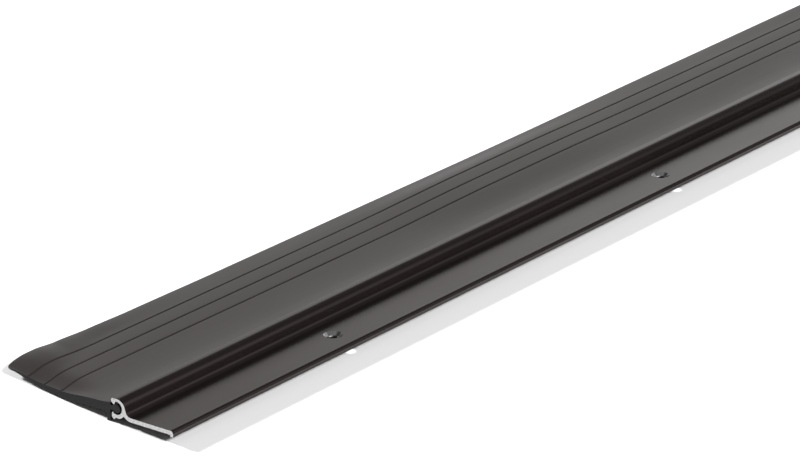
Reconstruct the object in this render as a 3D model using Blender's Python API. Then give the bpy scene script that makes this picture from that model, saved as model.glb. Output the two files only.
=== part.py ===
"""Door sweep: an aluminium carrier rail that holds a slide-in rubber blade.

+X runs along the sweep, +Y points towards the blade's free edge, and +Z out of the face that
is seen once the rail is screwed to a door. The origin is the centre of the footprint.
"""
import math

import bmesh
import bpy
from mathutils import Vector

MM = 0.001

# Driving dimensions, in millimetres
LENGTH = 1000.0
HOLE_COUNT = 5
HOLE_END_OFFSET = 97.4  # from each end to its nearest hole

# Rail section: y from the spur's foot, z from the plane through the feet of the lip and the spur
FLANGE_EDGE_Y = -25.4  # outer face of the turned-down lip
FLANGE_BACK_Z = 0.65
FLANGE_FRONT_Z = 2.25
LIP_THICKNESS = 1.3
LIP_CORNER_RADIUS = 1.2
WEB_FILLET_RADIUS = 2.7  # where the front of the flange turns up into the socket's back
HOLE_Y = -15.4
HOLE_RADIUS = 2.2
COUNTERSINK_RADIUS = 3.4
SOCKET_OUTER_CENTRE = (-1.45, 4.1)
SOCKET_OUTER_RADIUS = 3.5
SOCKET_BORE_CENTRE = (-1.25, 4.25)
SOCKET_BORE_RADIUS = 2.25
SLOT_LOW_Z = 2.8  # the slot that the rubber neck passes through
SLOT_HIGH_Z = 5.2
UPPER_LIP_ROOT_DEG = 80.0  # where the bore ends at the upper lip, anticlockwise from +y

# Rubber section
BEAD_CENTRE = (-1.35, 3.95)
BEAD_RADIUS = 1.4
NECK_THICKNESS = 1.6
LEG_NEAR_Y = 1.5
LEG_FAR_Y = 2.9
LEG_TOP_Z = 5.6
LEG_FOOT_Z = -1.0  # the leg stands proud of the rail, so that it presses on the door
LEG_EDGE_RADIUS = 0.4
BLADE_ROOT_RADIUS = 1.62
BLADE_HINGE_Z = 3.75
BLADE_TIP_Y = 47.4
DIP_Y = 9.0  # where the upper face is lowest
DIP_Z = 5.2
CROWN_Y = 41.0  # where it is highest
CROWN_Z = 6.62
TAPER_Y = 17.0  # where the blade starts to thin
TAPER_THICKNESS = 2.95
TIP_THICKNESS = 0.5
GROOVES_Y = (22.9, 30.3, 37.6)
GROOVE_WIDTH = 0.5
GROOVE_DEPTH = 0.45

CLEARANCE = 0.3  # between solids that meet
ARC_STEP_DEG = 9.0
HOLE_SEGMENTS = 40
BLADE_STATIONS = 12  # points along each face of the blade
SMOOTH_ANGLE_DEG = 25.0  # edges sharper than this stay crisp
MERGE_DISTANCE = 1e-6  # metres

BLADE_HINGE_Y = LEG_FAR_Y + CLEARANCE + BLADE_ROOT_RADIUS
CENTRE_Y = (FLANGE_EDGE_Y + BLADE_TIP_Y) / 2  # moves the section onto the footprint's centre


def row_point(x, y, z):
    """A point of the section, x from the middle of the sweep, in metres from the origin."""
    return Vector((x, y - CENTRE_Y, z - LEG_FOOT_Z)) * MM


def arc(centre, radius, start_deg, end_deg):
    """Points along an arc, from start_deg to end_deg, in the section's y and z."""
    steps = max(2, math.ceil(abs(end_deg - start_deg) / ARC_STEP_DEG))
    points = []
    for step in range(steps + 1):
        angle = math.radians(start_deg + (end_deg - start_deg) * step / steps)
        points.append((centre[0] + radius * math.cos(angle), centre[1] + radius * math.sin(angle)))
    return points


def rubber_material(name, grey):
    material = bpy.data.materials.new(name)
    material.use_nodes = True
    shader = material.node_tree.nodes["Principled BSDF"]
    shader.inputs["Base Color"].default_value = (grey, grey, grey, 1.0)
    shader.inputs["Roughness"].default_value = 0.6
    shader.inputs["Metallic"].default_value = 0.0
    return material


def anodised_material():
    material = bpy.data.materials.new("bronze_anodised_aluminium")
    material.use_nodes = True
    shader = material.node_tree.nodes["Principled BSDF"]
    shader.inputs["Base Color"].default_value = (0.060, 0.048, 0.044, 1.0)
    shader.inputs["Roughness"].default_value = 0.35
    shader.inputs["Metallic"].default_value = 0.8
    return material


def extrusion(name, outline, material, pivot=(0.0, 0.0)):
    """A straight extrusion of an outline over the whole length, with its origin at pivot (y, z)."""
    origin = row_point(0.0, *pivot)
    mesh = bpy.data.meshes.new(name)
    shape = bmesh.new()
    corners = []
    for y, z in outline:
        corners.append(shape.verts.new(row_point(-LENGTH / 2, y, z) - origin))
    section = shape.faces.new(corners)
    swept = bmesh.ops.extrude_face_region(shape, geom=[section])
    far_end = [item for item in swept["geom"] if isinstance(item, bmesh.types.BMVert)]
    bmesh.ops.translate(shape, verts=far_end, vec=(LENGTH * MM, 0.0, 0.0))
    bmesh.ops.recalc_face_normals(shape, faces=shape.faces)
    shape.to_mesh(mesh)
    shape.free()
    mesh.materials.append(material)
    mesh.shade_smooth()
    mesh.set_sharp_from_angle(angle=math.radians(SMOOTH_ANGLE_DEG))
    part = bpy.data.objects.new(name, mesh)
    part.location = origin
    bpy.context.collection.objects.link(part)
    return part


def rail_outline():
    """The rail's section: lip, flange, web and C-shaped socket, anticlockwise from the lip's foot."""
    lip_inner_y = FLANGE_EDGE_Y + LIP_THICKNESS
    outer, outer_radius = SOCKET_OUTER_CENTRE, SOCKET_OUTER_RADIUS
    bore, bore_radius = SOCKET_BORE_CENTRE, SOCKET_BORE_RADIUS
    points = [(FLANGE_EDGE_Y + 0.25, 0.0), (lip_inner_y - 0.2, 0.0)]
    points += arc((lip_inner_y + 0.5, FLANGE_BACK_Z - 0.5), 0.5, 180.0, 90.0)
    # back of the flange, swept up into the notch between the web and the socket
    points += arc((-7.3, FLANGE_BACK_Z + 4.0), 4.0, 270.0, 312.0)
    points += arc(outer, outer_radius, 218.0, 262.0)
    # the spur below the slot
    points += [(-0.85, 0.75), (-0.25, 0.0), (0.1, 0.0), (0.75, 0.75), (0.95, 1.25)]
    points += [(0.8, 2.35), (0.35, SLOT_LOW_Z)]
    # round the bore, clockwise, from the lower lip to the upper one
    low_angle = math.degrees(math.asin((SLOT_LOW_Z - 0.3 - bore[1]) / bore_radius))
    points += arc(bore, bore_radius, low_angle, UPPER_LIP_ROOT_DEG - 360.0)
    # the slanted hammerhead of the upper lip, and the flat top
    points += [(-0.2, SLOT_HIGH_Z), (1.0, 6.05), (1.15, 6.6), (0.95, 7.3)]
    points += [(0.45, outer[1] + outer_radius)]
    # over the socket's back, then the fillet that turns down into the flange
    fillet = fillet_centre()
    toward = math.degrees(math.atan2(fillet[1] - outer[1], fillet[0] - outer[0])) % 360.0
    points += arc(outer, outer_radius, 90.0, toward)
    points += arc(fillet, WEB_FILLET_RADIUS, toward - 180.0, -90.0)
    corner = (FLANGE_EDGE_Y + LIP_CORNER_RADIUS, FLANGE_FRONT_Z - LIP_CORNER_RADIUS)
    points += arc(corner, LIP_CORNER_RADIUS, 90.0, 180.0)
    points += [(FLANGE_EDGE_Y, 0.25)]
    return points


def fillet_centre():
    """Centre of the fillet that touches both the flange's front and the socket's outer wall."""
    z = FLANGE_FRONT_Z + WEB_FILLET_RADIUS
    reach = SOCKET_OUTER_RADIUS + WEB_FILLET_RADIUS
    y = SOCKET_OUTER_CENTRE[0] - math.sqrt(reach ** 2 - (z - SOCKET_OUTER_CENTRE[1]) ** 2)
    return (y, z)


def hole_positions():
    """The holes' places along X, from the middle of the rail."""
    pitch = (LENGTH - 2 * HOLE_END_OFFSET) / (HOLE_COUNT - 1)
    return [HOLE_END_OFFSET - LENGTH / 2 + pitch * number for number in range(HOLE_COUNT)]


def countersunk_plug():
    """The turned mesh that cuts one screw hole: a straight shank with a 90 degree cone above it."""
    overshoot = 1.0
    cone_foot_z = FLANGE_FRONT_Z - (COUNTERSINK_RADIUS - HOLE_RADIUS)
    profile = [
        (0.0, FLANGE_BACK_Z - overshoot),
        (HOLE_RADIUS, FLANGE_BACK_Z - overshoot),
        (HOLE_RADIUS, cone_foot_z),
        (COUNTERSINK_RADIUS, FLANGE_FRONT_Z),
        (COUNTERSINK_RADIUS + overshoot, FLANGE_FRONT_Z + overshoot),
        (0.0, FLANGE_FRONT_Z + overshoot),
    ]
    shape = bmesh.new()
    corners = [shape.verts.new((radius * MM, 0.0, z * MM)) for radius, z in profile]
    edges = [shape.edges.new(pair) for pair in zip(corners, corners[1:])]
    bmesh.ops.spin(
        shape, geom=corners + edges, axis=(0.0, 0.0, 1.0), angle=math.tau,
        steps=HOLE_SEGMENTS, use_merge=True,
    )
    bmesh.ops.remove_doubles(shape, verts=shape.verts, dist=MERGE_DISTANCE)
    bmesh.ops.recalc_face_normals(shape, faces=shape.faces)
    mesh = bpy.data.meshes.new("countersunk_plug")
    shape.to_mesh(mesh)
    shape.free()
    return mesh


def carrier_rail():
    rail = extrusion("carrier_rail", rail_outline(), anodised_material())
    plug = countersunk_plug()
    for number, x in enumerate(hole_positions(), start=1):
        cutter = bpy.data.objects.new(f"screw_hole_cutter_{number}", plug)
        cutter.location = row_point(x, HOLE_Y, 0.0)
        cutter.hide_render = True
        cutter.display_type = "WIRE"
        bpy.context.collection.objects.link(cutter)
        hole = rail.modifiers.new(f"screw_hole_{number}", "BOOLEAN")
        hole.operation = "DIFFERENCE"
        hole.solver = "EXACT"
        hole.object = cutter
    return rail


def rubber_anchor():
    """Bead, neck and leg: the part of the insert that the rail holds."""
    half_neck = NECK_THICKNESS / 2
    leaves = math.degrees(math.asin(half_neck / BEAD_RADIUS))
    edge = LEG_EDGE_RADIUS
    neck_low = BEAD_CENTRE[1] - half_neck
    neck_high = BEAD_CENTRE[1] + half_neck
    outline = arc(BEAD_CENTRE, BEAD_RADIUS, leaves, 360.0 - leaves)
    outline += [(LEG_NEAR_Y, neck_low)]
    outline += arc((LEG_NEAR_Y + edge, LEG_FOOT_Z + edge), edge, 180.0, 270.0)
    outline += arc((LEG_FAR_Y - edge, LEG_FOOT_Z + edge), edge, 270.0, 360.0)
    outline += arc((LEG_FAR_Y - edge, LEG_TOP_Z - edge), edge, 0.0, 90.0)
    outline += arc((LEG_NEAR_Y + edge, LEG_TOP_Z - edge), edge, 90.0, 180.0)
    outline += [(LEG_NEAR_Y, neck_high)]
    return extrusion("rubber_anchor_bead", outline, rubber_material("black_rubber", 0.028))


def blade_top_z(y):
    """Height of the blade's upper face: a shallow dip beside the root, then a long low crown."""
    if y <= DIP_Y:
        root_z = BLADE_HINGE_Z + BLADE_ROOT_RADIUS
        share = (DIP_Y - y) / (DIP_Y - BLADE_HINGE_Y)
        return DIP_Z + (root_z - DIP_Z) * share ** 2
    share = (y - DIP_Y) / (CROWN_Y - DIP_Y)
    return DIP_Z + (CROWN_Z - DIP_Z) * math.sin(math.pi / 2 * share) ** 2


def blade_thickness(y):
    """Thickness at y: nearly even beside the root, then a straight taper to the tip."""
    root_thickness = 2 * BLADE_ROOT_RADIUS
    if y <= TAPER_Y:
        share = (y - BLADE_HINGE_Y) / (TAPER_Y - BLADE_HINGE_Y)
        return root_thickness + (TAPER_THICKNESS - root_thickness) * share
    share = (y - TAPER_Y) / (BLADE_TIP_Y - TAPER_Y)
    return TAPER_THICKNESS + (TIP_THICKNESS - TAPER_THICKNESS) * share


def groove_notch(y):
    """The V of one trim groove, from its -y edge to its +y edge."""
    half = GROOVE_WIDTH / 2
    return [
        (y - half, blade_top_z(y - half)),
        (y, blade_top_z(y) - GROOVE_DEPTH),
        (y + half, blade_top_z(y + half)),
    ]


def rubber_blade():
    """The wiping blade, rounded about its hinge line so that it can swing beside the leg."""
    hinge = (BLADE_HINGE_Y, BLADE_HINGE_Z)
    step_y = (BLADE_TIP_Y - BLADE_HINGE_Y) / BLADE_STATIONS
    stations = [BLADE_HINGE_Y + step_y * (number + 1) for number in range(BLADE_STATIONS)]
    under = [(y, blade_top_z(y) - blade_thickness(y)) for y in stations]
    upper = [(y, blade_top_z(y)) for y in stations]
    for groove_y in GROOVES_Y:
        upper = [point for point in upper if abs(point[0] - groove_y) > GROOVE_WIDTH]
        upper += groove_notch(groove_y)
    upper.sort(reverse=True)
    outline = arc(hinge, BLADE_ROOT_RADIUS, 90.0, 270.0) + under + upper
    return extrusion("rubber_blade", outline, rubber_material("black_blade_rubber", 0.035), hinge)


def main():
    for item in list(bpy.data.objects):
        bpy.data.objects.remove(item, do_unlink=True)
    carrier_rail()
    rubber_anchor()
    rubber_blade()


main()
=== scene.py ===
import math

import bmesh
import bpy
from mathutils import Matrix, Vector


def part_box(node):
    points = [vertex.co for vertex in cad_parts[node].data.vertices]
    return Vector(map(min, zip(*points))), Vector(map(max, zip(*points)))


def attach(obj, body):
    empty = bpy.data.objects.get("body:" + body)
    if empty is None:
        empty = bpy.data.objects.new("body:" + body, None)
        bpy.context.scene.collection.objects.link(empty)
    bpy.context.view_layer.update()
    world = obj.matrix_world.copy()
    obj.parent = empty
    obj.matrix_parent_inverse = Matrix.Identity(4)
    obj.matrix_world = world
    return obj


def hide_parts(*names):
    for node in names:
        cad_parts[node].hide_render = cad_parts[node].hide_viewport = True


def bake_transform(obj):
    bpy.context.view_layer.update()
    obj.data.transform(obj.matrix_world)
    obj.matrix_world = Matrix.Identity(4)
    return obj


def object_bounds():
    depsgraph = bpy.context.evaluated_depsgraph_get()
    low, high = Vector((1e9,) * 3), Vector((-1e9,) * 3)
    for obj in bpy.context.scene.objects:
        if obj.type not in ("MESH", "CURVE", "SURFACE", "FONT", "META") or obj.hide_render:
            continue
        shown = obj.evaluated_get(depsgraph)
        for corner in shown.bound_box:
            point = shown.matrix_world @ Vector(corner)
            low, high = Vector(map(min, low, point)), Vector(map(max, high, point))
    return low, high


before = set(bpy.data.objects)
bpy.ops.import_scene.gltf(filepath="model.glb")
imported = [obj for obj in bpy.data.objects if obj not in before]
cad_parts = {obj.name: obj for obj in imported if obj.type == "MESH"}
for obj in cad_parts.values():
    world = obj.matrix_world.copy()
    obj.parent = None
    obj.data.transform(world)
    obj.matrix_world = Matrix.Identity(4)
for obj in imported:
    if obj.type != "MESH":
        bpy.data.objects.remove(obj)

# Door sweep: a bronze anodised carrier rail with a black rubber blade, lying on a white table.
# The values below are in millimetres: y from the spur's foot, z from the plane through the
# feet of the lip and the spur, and x from the end of the sweep that is nearest the camera.

MM = 0.001
cad_low, cad_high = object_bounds()

# ---------------------------------------------------------------- dimensions, as in the CAD
FLANGE_EDGE_Y = -25.4  # outer face of the turned-down lip
FLANGE_BACK_Z = 0.65
FLANGE_FRONT_Z = 2.25
LIP_THICKNESS = 1.3
LIP_CORNER_RADIUS = 1.2
WEB_BACK_CENTRE = (-7.3, 4.65)  # of the hollow bend behind the web
WEB_BACK_RADIUS = 4.0
HOLE_Y = -15.4
HOLE_RADIUS = 2.2
COUNTERSINK_RADIUS = 3.4
HOLE_COUNT = 5
HOLE_END_OFFSET = 97.4  # from each end to its nearest hole
SOCKET_OUTER_CENTRE = (-1.45, 4.1)
SOCKET_OUTER_RADIUS = 3.5
SOCKET_BORE_CENTRE = (-1.25, 4.25)
SOCKET_BORE_RADIUS = 2.25
# The socket's two lips, as (y, z, corner radius). The low one starts with the spur. Their
# corners are sharp in the CAD.
LOW_LIP = [
    (-0.85, 0.75, 0.15), (-0.25, 0.0, 0.15), (0.1, 0.0, 0.15), (0.75, 0.75, 0.3),
    (0.95, 1.25, 0.3), (0.8, 2.35, 0.3), (0.35, 2.8, 0.15),
]
HIGH_LIP = [(-0.2, 5.2, 0.15), (1.0, 6.05, 0.3), (1.15, 6.6, 0.3), (0.95, 7.3, 0.3)]
BORE_FOOT_Z = 2.5  # where the bore starts, behind the low lip

BEAD_CENTRE = (-1.35, 3.95)
BEAD_RADIUS = 1.4
NECK_HALF = 0.8  # half of its thickness
LEG_NEAR_Y = 1.5
LEG_FAR_Y = 2.9
LEG_TOP_Z = 5.6
LEG_FOOT_Z = -1.0  # the leg stands proud of the rail
LEG_EDGE_RADIUS = 0.4
BLADE_HINGE = (4.82, 3.75)
BLADE_TIP_Y = 47.4
DIP_Y, DIP_Z = 9.0, 5.2  # where the blade's upper face is lowest
CROWN_Y, CROWN_Z = 41.0, 6.62  # where it is highest
TAPER_Y = 17.0  # where the blade starts to thin
ROOT_THICKNESS, TAPER_THICKNESS, TIP_THICKNESS = 3.24, 2.95, 0.5
GROOVES_Y = (22.9, 30.3, 37.6)

# ---------------------------------------------------------------- detail that only shows here
WEB_STEEP_DEG = 162.0  # where the web leaves the socket's round
WEB_FILLET_RADIUS = 2.2  # a little tighter than the CAD's, as the web is straight above it
END_CHAMFER = 0.07  # the light deburring of the sawn ends
GROOVE_WIDTH = 0.85  # wider and deeper than the CAD's plain notches
GROOVE_DEPTH = 0.9
GROOVE_END_SHARE = 0.3  # how much of that depth is left at the near end
GROOVE_FADE = (4.0, 34.0)  # from there it deepens over this stretch of x
BLADE_TIP_RADIUS = 0.12
ARC_STEP_DEG = 4.0
CORNER_STEP_DEG = 15.0
SAME_POINT = 0.005  # points closer than this are one
FLAT_SUPPORT = 0.15  # keeps a flat flat right up to its rounded edge
HOLE_MARGIN = 6.0  # mesh lines this far from a hole's centre keep its cut away from the rest
HOLE_SEGMENTS = 72
BLADE_STEPS = 34
SMOOTH_RAIL_DEG = 30.0  # edges flatter than this shade smoothly
SMOOTH_RUBBER_DEG = 32.0
FACES_THE_END = 0.98  # a face whose normal lies this much along x is part of a sawn end

rail_low, rail_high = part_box("carrier_rail")
LENGTH = (rail_high.x - rail_low.x) / MM
DATUM = Vector((rail_low.x, rail_low.y - FLANGE_EDGE_Y * MM, rail_low.z))


def place(x, y, z):
    """A point of the section, x mm from the near end, in the frame's metres."""
    return DATUM + Vector((x, y, z)) * MM


def arc(centre, radius, start_deg, end_deg):
    """Points along an arc, from start_deg to end_deg."""
    steps = max(2, math.ceil(abs(end_deg - start_deg) / ARC_STEP_DEG))
    points = []
    for step in range(steps + 1):
        angle = math.radians(start_deg + (end_deg - start_deg) * step / steps)
        points.append((centre[0] + radius * math.cos(angle), centre[1] + radius * math.sin(angle)))
    return points


def rounded(corners):
    """An outline from (y, z, radius) corners, each tip rounded off by about that radius."""
    points = []
    count = len(corners)
    for number, (y, z, radius) in enumerate(corners):
        if radius == 0.0:
            points.append((y, z))
            continue
        here = Vector((y, z))
        before = Vector(corners[number - 1][:2]) - here
        after = Vector(corners[(number + 1) % count][:2]) - here
        turn = math.pi - before.angle(after)
        cut = radius * math.tan(turn / 2)
        cut = min(cut, 0.48 * before.length, 0.48 * after.length)
        first = here + before.normalized() * cut
        last = here + after.normalized() * cut
        steps = max(2, math.ceil(math.degrees(turn) / CORNER_STEP_DEG))
        for step in range(steps + 1):
            t = step / steps
            point = first * (1 - t) ** 2 + here * (2 * t * (1 - t)) + last * t ** 2
            points.append(tuple(point))
    return [p for n, p in enumerate(points) if math.dist(p, points[n - 1]) > SAME_POINT]


def sharp(points):
    """Outline points that stay as they are, for rounded()."""
    return [(y, z, 0.0) for y, z in points]


def smoothstep(value, low, high):
    """0 below low, 1 above high, and a smooth rise between them."""
    share = min(1.0, max(0.0, (value - low) / (high - low)))
    return share * share * (3 - 2 * share)


def curve_through(points, x):
    """A smooth line through a few (x, value) points, level at each of them."""
    if x <= points[0][0]:
        return points[0][1]
    for (x0, v0), (x1, v1) in zip(points, points[1:]):
        if x <= x1:
            return v0 + (v1 - v0) * smoothstep(x, x0, x1)
    return points[-1][1]


def inset(outline, distance):
    """The outline moved inwards by distance. It runs anticlockwise."""
    moved = []
    count = len(outline)
    for number in range(count):
        here = Vector(outline[number])
        along = (Vector(outline[(number + 1) % count]) - here).normalized()
        along += (here - Vector(outline[number - 1])).normalized()
        if along.length < 1e-6:
            moved.append(tuple(here))
            continue
        along.normalize()
        moved.append(tuple(here + Vector((-along.y, along.x)) * distance))
    return moved


def sweep(name, rings, smooth_deg):
    """A closed solid through rings of points, capped at both ends and smooth below smooth_deg."""
    mesh = bpy.data.meshes.new(name)
    shape = bmesh.new()
    rows = [[shape.verts.new(point) for point in ring] for ring in rings]
    count = len(rows[0])
    for row, following in zip(rows, rows[1:]):
        for number in range(count):
            other = (number + 1) % count
            shape.faces.new((row[number], row[other], following[other], following[number]))
    caps = [shape.faces.new(rows[0]), shape.faces.new(rows[-1][::-1])]
    shape.normal_update()
    bmesh.ops.triangulate(shape, faces=caps, ngon_method="EAR_CLIP")
    bmesh.ops.recalc_face_normals(shape, faces=shape.faces)
    shape.to_mesh(mesh)
    shape.free()
    mesh.shade_smooth()
    mesh.set_sharp_from_angle(angle=math.radians(smooth_deg))
    piece = bpy.data.objects.new(name, mesh)
    bpy.context.collection.objects.link(piece)
    return piece


# ---------------------------------------------------------------- node helpers
def new_material(name):
    """A material with its node tree and its shader."""
    material = bpy.data.materials.new(name)
    material.use_nodes = True
    return material, material.node_tree, material.node_tree.nodes["Principled BSDF"]


def stretched_noise(tree, scales, detail=3.0, roughness=0.5):
    """Noise in object coordinates, with its own scale along x, y and z. Gives a 0 to 1 factor."""
    where = tree.nodes.new("ShaderNodeTexCoord")
    mapping = tree.nodes.new("ShaderNodeMapping")
    mapping.inputs["Scale"].default_value = scales
    noise = tree.nodes.new("ShaderNodeTexNoise")
    noise.inputs["Scale"].default_value = 1.0
    noise.inputs["Detail"].default_value = detail
    noise.inputs["Roughness"].default_value = roughness
    tree.links.new(where.outputs["Object"], mapping.inputs["Vector"])
    tree.links.new(mapping.outputs["Vector"], noise.inputs["Vector"])
    return noise.outputs["Fac"]


def ramp(tree, factor, stops):
    """A colour ramp with (position, grey or colour) stops."""
    node = tree.nodes.new("ShaderNodeValToRGB")
    elements = node.color_ramp.elements
    while len(elements) < len(stops):
        elements.new(0.5)
    for element, (position, colour) in zip(elements, stops):
        if isinstance(colour, float):
            colour = (colour, colour, colour)
        element.position = position
        element.color = (*colour, 1.0)
    tree.links.new(factor, node.inputs["Fac"])
    return node.outputs["Color"]


def blended(tree, first, second, share):
    """Two factors or colours mixed by a fixed share."""
    node = tree.nodes.new("ShaderNodeMix")
    node.data_type = "RGBA"
    node.inputs["Factor"].default_value = share
    tree.links.new(first, node.inputs["A"])
    tree.links.new(second, node.inputs["B"])
    return node.outputs["Result"]


def bump(tree, shader, height, strength, distance, beneath=None):
    """Bumps the shader by a height, on top of the bump beneath if there is one."""
    node = tree.nodes.new("ShaderNodeBump")
    node.inputs["Strength"].default_value = strength
    node.inputs["Distance"].default_value = distance
    tree.links.new(height, node.inputs["Height"])
    if beneath is not None:
        tree.links.new(beneath, node.inputs["Normal"])
    tree.links.new(node.outputs["Normal"], shader.inputs["Normal"])
    return node.outputs["Normal"]


def anodised_material():
    """Dark bronze anodising: a smooth sealed skin with faint die lines along the extrusion."""
    material, tree, shader = new_material("bronze_anodising")
    die_lines = stretched_noise(tree, (6.0, 2600.0, 2600.0), 4.0, 0.6)
    cloud = stretched_noise(tree, (18.0, 90.0, 90.0), 3.0, 0.55)
    grain = stretched_noise(tree, (2600.0, 5200.0, 5200.0), 2.0, 0.5)
    tone = blended(tree, die_lines, cloud, 0.5)
    tree.links.new(
        ramp(tree, tone, [(0.30, (0.0062, 0.0044, 0.0042)), (0.70, (0.0094, 0.0068, 0.0064))]),
        shader.inputs["Base Color"],
    )
    tree.links.new(ramp(tree, tone, [(0.30, 0.19), (0.70, 0.24)]), shader.inputs["Roughness"])
    shader.inputs["IOR"].default_value = 1.52
    shader.inputs["Specular Tint"].default_value = (1.0, 0.84, 0.83, 1.0)
    fine = bump(tree, shader, grain, 0.12, 0.00003)
    bump(tree, shader, die_lines, 0.10, 0.00005, fine)
    return material


def bare_aluminium(name, scales, tones, roughness):
    """Freshly cut aluminium. The tool marks are noise stretched by the scales."""
    material, tree, shader = new_material(name)
    marks = stretched_noise(tree, scales, 3.0, 0.6)
    for socket, values in (("Base Color", tones), ("Roughness", roughness)):
        stops = list(zip((0.38, 0.62), values))
        tree.links.new(ramp(tree, marks, stops), shader.inputs[socket])
    shader.inputs["Metallic"].default_value = 1.0
    bump(tree, shader, marks, 0.25, 0.00004)
    return material


def rubber_material():
    """Black extruded rubber with faint streaks along it, a dull bloom and a fine pebble."""
    material, tree, shader = new_material("black_rubber")
    streaks = stretched_noise(tree, (5.0, 1500.0, 1500.0), 4.0, 0.6)
    bloom = stretched_noise(tree, (22.0, 60.0, 60.0), 4.0, 0.6)
    pebble = stretched_noise(tree, (3800.0, 4200.0, 4200.0), 2.0, 0.5)
    tone = blended(tree, streaks, bloom, 0.55)
    tree.links.new(
        ramp(tree, tone, [(0.30, (0.0246, 0.0220, 0.0216)), (0.70, (0.0342, 0.0307, 0.0302))]),
        shader.inputs["Base Color"],
    )
    tree.links.new(ramp(tree, tone, [(0.30, 0.38), (0.70, 0.48)]), shader.inputs["Roughness"])
    shader.inputs["IOR"].default_value = 1.58
    shader.inputs["Specular Tint"].default_value = (1.0, 0.88, 0.88, 1.0)
    fine = bump(tree, shader, pebble, 0.25, 0.00004)
    bump(tree, shader, streaks, 0.12, 0.00008, fine)
    return material


def cut_rubber_material():
    """The sawn end of the rubber: matt and a little torn."""
    material, tree, shader = new_material("cut_rubber")
    tears = stretched_noise(tree, (2000.0, 1400.0, 4200.0), 4.0, 0.65)
    tone = ramp(tree, tears, [(0.35, (0.016, 0.016, 0.017)), (0.65, (0.028, 0.028, 0.029))])
    tree.links.new(tone, shader.inputs["Base Color"])
    shader.inputs["Roughness"].default_value = 0.8
    shader.inputs["Specular IOR Level"].default_value = 0.15
    bump(tree, shader, tears, 0.4, 0.00008)
    return material


# ---------------------------------------------------------------- the carrier rail
def web_fillet_centre():
    """Centre of the fillet between the flange and the straight web below the socket."""
    steep = math.radians(WEB_STEEP_DEG)
    outward = Vector((math.cos(steep), math.sin(steep)))
    down = Vector((-outward.y, outward.x))
    top = Vector(SOCKET_OUTER_CENTRE) + outward * SOCKET_OUTER_RADIUS
    drop = top.y - FLANGE_FRONT_Z - WEB_FILLET_RADIUS * (1.0 - outward.y)
    return tuple(top + down * (drop / -down.y) + outward * WEB_FILLET_RADIUS)


def flat(y_from, y_to, z):
    """A flat of the flange, with points that hold its shading and fence in the screw holes."""
    way = 1.0 if y_to > y_from else -1.0
    holes = [HOLE_Y - HOLE_MARGIN * way, HOLE_Y + HOLE_MARGIN * way]
    return [(y, z) for y in (y_from + FLAT_SUPPORT * way, *holes, y_to - FLAT_SUPPORT * way)]


def rail_outline():
    """Lip, flange, web and C-shaped socket, anticlockwise from the lip's foot."""
    lip_inner_y = FLANGE_EDGE_Y + LIP_THICKNESS
    outer, outer_radius = SOCKET_OUTER_CENTRE, SOCKET_OUTER_RADIUS
    bore, bore_radius = SOCKET_BORE_CENTRE, SOCKET_BORE_RADIUS
    corners = [(FLANGE_EDGE_Y + 0.02, 0.0, 0.25), (lip_inner_y, 0.0, 0.25)]
    corners += sharp(arc((lip_inner_y + 0.5, FLANGE_BACK_Z - 0.5), 0.5, 180.0, 90.0))
    corners += sharp(flat(lip_inner_y + 0.5, WEB_BACK_CENTRE[0], FLANGE_BACK_Z))
    corners += sharp(arc(WEB_BACK_CENTRE, WEB_BACK_RADIUS, 270.0, 312.0))
    corners += sharp(arc(outer, outer_radius, 218.0, 262.0))
    corners += LOW_LIP
    low_angle = math.degrees(math.asin((BORE_FOOT_Z - bore[1]) / bore_radius))
    corners += sharp(arc(bore, bore_radius, low_angle, 80.0 - 360.0))
    corners += HIGH_LIP
    corners += [(0.45, outer[1] + outer_radius, 0.3)]
    corners += sharp(arc(outer, outer_radius, 90.0, WEB_STEEP_DEG))
    fillet = web_fillet_centre()
    corners += sharp(arc(fillet, WEB_FILLET_RADIUS, WEB_STEEP_DEG - 180.0, -90.0))
    corner = (FLANGE_EDGE_Y + LIP_CORNER_RADIUS, FLANGE_FRONT_Z - LIP_CORNER_RADIUS)
    corners += sharp(flat(fillet[0], corner[0], FLANGE_FRONT_Z))
    corners += sharp(arc(corner, LIP_CORNER_RADIUS, 90.0, 180.0))
    return rounded(corners)


def hole_positions():
    """How far each screw hole is from the near end."""
    pitch = (LENGTH - 2 * HOLE_END_OFFSET) / (HOLE_COUNT - 1)
    return [HOLE_END_OFFSET + pitch * number for number in range(HOLE_COUNT)]


def screw_hole_cutter():
    """Turned plugs for the countersunk holes, all in one mesh. They stick out at both ends."""
    foot_z, top_z = -0.5, FLANGE_FRONT_Z + 1.0
    cone_foot_z = FLANGE_FRONT_Z - (COUNTERSINK_RADIUS - HOLE_RADIUS)
    profile = [
        (0.0, foot_z), (HOLE_RADIUS, foot_z), (HOLE_RADIUS, cone_foot_z),
        (COUNTERSINK_RADIUS, FLANGE_FRONT_Z), (COUNTERSINK_RADIUS + 1.0, top_z), (0.0, top_z),
    ]
    shape = bmesh.new()
    for x in hole_positions():
        centre = place(x, HOLE_Y, 0.0)
        line = [shape.verts.new(centre + Vector((radius, 0.0, z)) * MM) for radius, z in profile]
        edges = [shape.edges.new(pair) for pair in zip(line, line[1:])]
        bmesh.ops.spin(
            shape, geom=line + edges, cent=centre, axis=(0.0, 0.0, 1.0), angle=math.tau,
            steps=HOLE_SEGMENTS, use_merge=True,
        )
    bmesh.ops.remove_doubles(shape, verts=shape.verts, dist=1e-6)
    bmesh.ops.recalc_face_normals(shape, faces=shape.faces)
    mesh = bpy.data.meshes.new("screw_hole_cutter")
    shape.to_mesh(mesh)
    shape.free()
    cutter = bpy.data.objects.new("screw_hole_cutter", mesh)
    bpy.context.collection.objects.link(cutter)
    return cutter


def applied(piece):
    """Replaces the piece's mesh by its mesh with the modifiers applied."""
    graph = bpy.context.evaluated_depsgraph_get()
    mesh = bpy.data.meshes.new_from_object(piece.evaluated_get(graph))
    piece.modifiers.clear()
    piece.data = mesh


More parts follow.
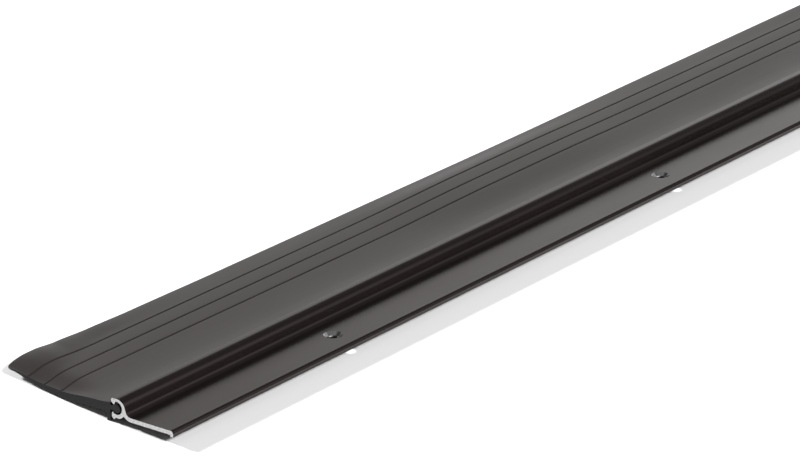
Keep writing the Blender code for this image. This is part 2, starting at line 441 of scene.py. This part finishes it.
def paint_rail(mesh):
    """Anodising all over, and bare metal on the sawn ends and inside the screw holes."""
    mesh.materials.clear()
    mesh.materials.append(anodised_material())
    mesh.materials.append(bare_aluminium(
        "sawn_aluminium", scales=(900.0, 1600.0, 5000.0), tones=(0.26, 0.60),
        roughness=(0.30, 0.42),
    ))
    mesh.materials.append(bare_aluminium(
        "turned_aluminium", scales=(900.0, 900.0, 5000.0), tones=(0.80, 0.92),
        roughness=(0.12, 0.20),
    ))
    anodised, sawn, turned = range(3)
    centres = [place(x, HOLE_Y, 0.0) for x in hole_positions()]
    hole_reach = (COUNTERSINK_RADIUS + 0.02) * MM
    for face in mesh.polygons:
        face.material_index = anodised
        if abs(face.normal.x) > FACES_THE_END and abs(face.center.x) > cad_high.x - 0.02 * MM:
            face.material_index = sawn
        elif abs(face.normal.z) < 0.9:
            if any((face.center - centre).xy.length < hole_reach for centre in centres):
                face.material_index = turned


def build_rail():
    """The extrusion with its deburred ends, its countersunk holes and its three finishes."""
    outline = rail_outline()
    edge = inset(outline, END_CHAMFER)
    stations = [END_CHAMFER]
    for x in hole_positions():
        stations += [x - HOLE_MARGIN, x + HOLE_MARGIN]
    stations.append(LENGTH - END_CHAMFER)
    rings = [[place(0.0, y, z) for y, z in edge]]
    rings += [[place(x, y, z) for y, z in outline] for x in stations]
    rings.append([place(LENGTH, y, z) for y, z in edge])
    rail = sweep("rail_extrusion", rings, SMOOTH_RAIL_DEG)
    cutter = screw_hole_cutter()
    cut = rail.modifiers.new("screw_holes", "BOOLEAN")
    cut.operation = "DIFFERENCE"
    cut.solver = "EXACT"
    cut.object = cutter
    applied(rail)
    bpy.data.objects.remove(cutter)
    paint_rail(rail.data)
    rail.data.shade_smooth()
    rail.data.set_sharp_from_angle(angle=math.radians(SMOOTH_RAIL_DEG))
    return rail


# ---------------------------------------------------------------- the rubber insert
def blade_top_z(y):
    """Height of the blade's upper face: a shallow dip beside the root, then a long low crown."""
    if y <= DIP_Y:
        root_z = BLADE_HINGE[1] + ROOT_THICKNESS / 2
        return DIP_Z + (root_z - DIP_Z) * ((DIP_Y - y) / (DIP_Y - BLADE_HINGE[0])) ** 2
    share = (y - DIP_Y) / (CROWN_Y - DIP_Y)
    return DIP_Z + (CROWN_Z - DIP_Z) * math.sin(math.pi / 2 * share) ** 2


def blade_thickness(y):
    """Nearly even to TAPER_Y, then thinning to the tip."""
    if y <= TAPER_Y:
        share = max(0.0, y - BLADE_HINGE[0]) / (TAPER_Y - BLADE_HINGE[0])
        return ROOT_THICKNESS + (TAPER_THICKNESS - ROOT_THICKNESS) * share
    share = (y - TAPER_Y) / (BLADE_TIP_Y - TAPER_Y)
    return TAPER_THICKNESS + (TIP_THICKNESS - TAPER_THICKNESS) * share


def insert_outline(depth):
    """Bead, neck, leg and blade with its grooves that deep, anticlockwise from the bead."""
    leaves = math.degrees(math.asin(NECK_HALF / BEAD_RADIUS))
    corners = sharp(arc(BEAD_CENTRE, BEAD_RADIUS, leaves, 360.0 - leaves))
    neck_low, neck_high = BEAD_CENTRE[1] - NECK_HALF, BEAD_CENTRE[1] + NECK_HALF
    corners += [(LEG_NEAR_Y, neck_low, 0.25), (LEG_NEAR_Y, LEG_FOOT_Z, LEG_EDGE_RADIUS)]
    corners += [(LEG_FAR_Y, LEG_FOOT_Z, LEG_EDGE_RADIUS)]
    root_y = BLADE_HINGE[0]
    corners += [(LEG_FAR_Y, blade_top_z(root_y) - ROOT_THICKNESS, 0.7)]
    reach = BLADE_TIP_Y - root_y
    stations = [root_y + reach * number / BLADE_STEPS for number in range(1, BLADE_STEPS)]
    corners += sharp([(y, blade_top_z(y) - blade_thickness(y)) for y in stations])
    tip_z = blade_top_z(BLADE_TIP_Y)
    corners += [(BLADE_TIP_Y, tip_z - TIP_THICKNESS, BLADE_TIP_RADIUS)]
    corners += [(BLADE_TIP_Y, tip_z, BLADE_TIP_RADIUS)]
    upper = [(y, blade_top_z(y)) for y in stations if all(abs(y - g) > 0.6 for g in GROOVES_Y)]
    half = GROOVE_WIDTH / 2
    for groove in GROOVES_Y:
        for side in (-1.0, 1.0):
            rim_z = blade_top_z(groove + side * half)
            upper.append((groove + side * (half + FLAT_SUPPORT), rim_z))
            upper.append((groove + side * half, rim_z))
            upper.append((groove + side * (half - 0.05), blade_top_z(groove) - depth))
    upper.sort(reverse=True)
    corners += sharp(upper)
    corners += [(LEG_FAR_Y + 0.6, 5.46, 0.3), (LEG_FAR_Y - 0.2, LEG_TOP_Z, LEG_EDGE_RADIUS)]
    corners += [(LEG_NEAR_Y, LEG_TOP_Z, LEG_EDGE_RADIUS), (LEG_NEAR_Y, neck_high, 0.25)]
    return rounded(corners)


# How far the free rubber's edge curls up and its middle bulges, as (x, height) points
EDGE_CURL = [
    (0.0, 1.8), (4.0, 2.25), (14.0, 2.1), (25.0, 1.35), (42.0, 0.74), (64.0, 0.37), (110.0, 0.1),
    (180.0, 0.0), (270.0, -0.15), (400.0, 0.35), (500.0, 0.6), (640.0, 0.1), (800.0, 0.5),
    (1000.0, 1.3),
]
BULGE = [
    (175.0, 0.05), (245.0, 0.85), (285.0, 0.85), (350.0, 0.32), (450.0, 0.3), (560.0, 0.0),
    (680.0, 0.5), (800.0, 0.1), (1000.0, 0.0),
]
END_DROOP = 1.5  # how far the near end hangs, and over what length
END_DROOP_REACH = 6.0
CORNER_RADIUS = 2.0  # of the blade's near corner, seen from above
EDGE_FROM_Y = 38.0  # from here to the tip the bulge dies out and the corner is rounded


def waved(x, y, z):
    """Where the rubber really is: its near corner droops, its edge curls and its middle bulges."""
    free = smoothstep(y, 8.0, 24.0)
    droop = -END_DROOP * math.exp(-((x / END_DROOP_REACH) ** 2)) * free
    curl_from = 31.0 + 8.0 * smoothstep(x, 12.0, 40.0)  # the curl is broader at the near end
    curl = curve_through(EDGE_CURL, x) * smoothstep(y, curl_from, BLADE_TIP_Y)
    at_edge = smoothstep(y, EDGE_FROM_Y, BLADE_TIP_Y)
    bulge = curve_through(BULGE, x) * free * (1.0 - at_edge)
    corner = max(0.0, 1.0 - x / CORNER_RADIUS)
    worn = CORNER_RADIUS * (1.0 - math.sqrt(1.0 - corner ** 2)) * at_edge
    return place(x, y - worn, z + droop + curl + bulge)


def insert_stations():
    """Where the rubber's mesh has a ring: close together at the near end, where it bends most."""
    stations, x = [0.0], 0.0
    while x < LENGTH:
        x += 0.5 if x < 4.0 else 1.0 if x < 36.0 else 4.0 if x < 200.0 else 8.0
        stations.append(min(x, LENGTH))
    return stations


def groove_depth(x):
    """The grooves are shallower at the near end."""
    return GROOVE_DEPTH * (GROOVE_END_SHARE + (1.0 - GROOVE_END_SHARE) * smoothstep(x, *GROOVE_FADE))


def build_insert():
    """Bead, neck, leg and blade as the one piece of rubber that they are."""
    rings = []
    for x in insert_stations():
        rings.append([waved(x, y, z) for y, z in insert_outline(groove_depth(x))])
    insert = sweep("rubber_insert", rings, SMOOTH_RUBBER_DEG)
    insert.data.materials.append(rubber_material())
    insert.data.materials.append(cut_rubber_material())
    for face in insert.data.polygons:
        face.material_index = 1 if abs(face.normal.x) > FACES_THE_END else 0
    return insert


# ---------------------------------------------------------------- the table
# The sweep lies on its leg and on the blade's edge. The table falls away gently under the flange
# and rises under the blade. Past the blade it sinks back, so that it hides nothing from behind.
TABLE_HALF = 40000.0
TABLE_SLOPE_RAIL_SIDE = 0.07
TABLE_SLOPE_BLADE_SIDE = 0.112
TABLE_KNEE_Y = (LEG_NEAR_Y + LEG_FAR_Y) / 2
TABLE_CREST_Y = 60.0
TABLE_LEVEL_Y = 900.0


def table_z(y):
    """Height of the sloping part of the table."""
    slope = TABLE_SLOPE_RAIL_SIDE if y < TABLE_KNEE_Y else TABLE_SLOPE_BLADE_SIDE
    return LEG_FOOT_Z + slope * (y - TABLE_KNEE_Y)


def build_table():
    """A white table top, in four flat strips along x."""
    profile = [(y, table_z(y)) for y in (-TABLE_HALF, TABLE_KNEE_Y, TABLE_CREST_Y)]
    profile += [(TABLE_LEVEL_Y, LEG_FOOT_Z), (TABLE_HALF, LEG_FOOT_Z)]
    points = [place(x, y, z) for y, z in profile for x in (-TABLE_HALF, TABLE_HALF)]
    mesh = bpy.data.meshes.new("table_top")
    mesh.from_pydata(points, [], [(n, n + 1, n + 3, n + 2) for n in range(0, 8, 2)])
    table = bpy.data.objects.new("table_top", mesh)
    bpy.context.collection.objects.link(table)
    material, _, shader = new_material("white_table")
    shader.inputs["Base Color"].default_value = (0.85, 0.85, 0.85, 1.0)
    shader.inputs["Roughness"].default_value = 0.9
    shader.inputs["Specular IOR Level"].default_value = 0.1
    mesh.materials.append(material)


# ---------------------------------------------------------------- the light
# Light of the studio's two walls by the height of the view direction, from 0 level to 1 straight
# up. Each has one bright band and leaves the rest dim, as soft boxes in a dark room do.
BACK_WALL = [
    (0.0, 0.75), (0.20, 0.82), (0.30, 0.86), (0.38, 0.80), (0.43, 0.42), (0.47, 0.10),
    (0.56, 0.07), (0.80, 0.07), (0.90, 0.35),
]
FRONT_WALL = [
    (0.0, 0.06), (0.12, 0.06), (0.24, 0.36), (0.36, 0.85), (0.48, 1.0), (0.58, 0.60),
    (0.66, 0.10), (0.90, 0.35),
]
# How much of each wall's light is left by how far along +x it is seen
BACK_WALL_FADE = [(0.0, 0.40), (0.30, 0.45), (0.68, 0.77), (0.82, 1.0)]
FRONT_WALL_FADE = [
    (0.0, 0.30), (0.40, 0.40), (0.62, 0.76), (0.70, 0.74), (0.74, 0.26), (0.82, 0.20),
]
WALL_STRENGTH = 1.34
WALLS_MEET = (-0.2, 0.3)  # they blend over this span of the view direction's y


def wall_light(tree, split, stops, fade):
    """A wall's light by height, scaled by how far along +x it is seen."""
    wall = tree.nodes.new("ShaderNodeMix")
    wall.data_type = "RGBA"
    wall.blend_type = "MULTIPLY"
    wall.inputs["Factor"].default_value = 1.0
    tree.links.new(ramp(tree, split.outputs["Z"], stops), wall.inputs["A"])
    tree.links.new(ramp(tree, split.outputs["X"], fade), wall.inputs["B"])
    return wall.outputs["Result"]


def build_world():
    """A studio with a wall behind the sweep (+y) and a wall in front of it."""
    world = bpy.data.worlds.new("studio")
    bpy.context.scene.world = world
    world.use_nodes = True
    tree = world.node_tree
    where = tree.nodes.new("ShaderNodeTexCoord")
    split = tree.nodes.new("ShaderNodeSeparateXYZ")
    tree.links.new(where.outputs["Generated"], split.inputs["Vector"])
    side = tree.nodes.new("ShaderNodeMapRange")
    side.interpolation_type = "SMOOTHSTEP"
    side.inputs["From Min"].default_value = WALLS_MEET[0]
    side.inputs["From Max"].default_value = WALLS_MEET[1]
    tree.links.new(split.outputs["Y"], side.inputs["Value"])
    mix = tree.nodes.new("ShaderNodeMix")
    mix.data_type = "RGBA"
    tree.links.new(side.outputs["Result"], mix.inputs["Factor"])
    tree.links.new(wall_light(tree, split, FRONT_WALL, FRONT_WALL_FADE), mix.inputs["A"])
    tree.links.new(wall_light(tree, split, BACK_WALL, BACK_WALL_FADE), mix.inputs["B"])
    tree.links.new(mix.outputs["Result"], tree.nodes["Background"].inputs["Color"])
    tree.nodes["Background"].inputs["Strength"].default_value = WALL_STRENGTH


def add_far_light(name, toward, strength, angle_deg):
    """A distant soft light seen in that direction. Only the walls show in reflections."""
    data = bpy.data.lights.new(name, "SUN")
    data.energy = strength
    data.angle = math.radians(angle_deg)
    light = bpy.data.objects.new(name, data)
    light.visible_glossy = False
    light.rotation_mode = "QUATERNION"
    light.rotation_quaternion = Vector(toward).to_track_quat("Z", "Y")
    bpy.context.collection.objects.link(light)


# ---------------------------------------------------------------- the camera, in metres
CAMERA_PLACE = Vector((-1.48723, -0.87519, 0.56176))
CAMERA_YAW_DEG = 52.910  # the way it looks, from +y towards +x
CAMERA_DOWN_DEG = 20.698
CAMERA_LENS = 194.83


def build_camera():
    """A long lens that looks down on the near end of the sweep."""
    data = bpy.data.cameras.new("camera")
    data.lens = CAMERA_LENS
    data.sensor_width = 36.0
    data.clip_start = 0.05
    data.clip_end = 200.0
    camera = bpy.data.objects.new("camera", data)
    camera.location = CAMERA_PLACE
    camera.rotation_euler = (
        math.radians(90.0 - CAMERA_DOWN_DEG), 0.0, math.radians(-CAMERA_YAW_DEG),
    )
    bpy.context.collection.objects.link(camera)
    bpy.context.scene.camera = camera


# ---------------------------------------------------------------- the scene
rail = build_rail()
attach(rail, "rail")
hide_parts("carrier_rail")

insert = build_insert()
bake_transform(insert)
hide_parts("rubber_anchor_bead", "rubber_blade")

build_table()
build_world()
# The window casts the strip of shadow in front of the lip, and the fill lights that strip.
add_far_light("window", toward=(-0.2, 1.0, 0.57), strength=6.2, angle_deg=5.0)
add_far_light("front_fill", toward=(0.0, -0.82, 0.57), strength=3.8, angle_deg=14.0)
build_camera()
bpy.context.scene.view_settings.view_transform = "Standard"
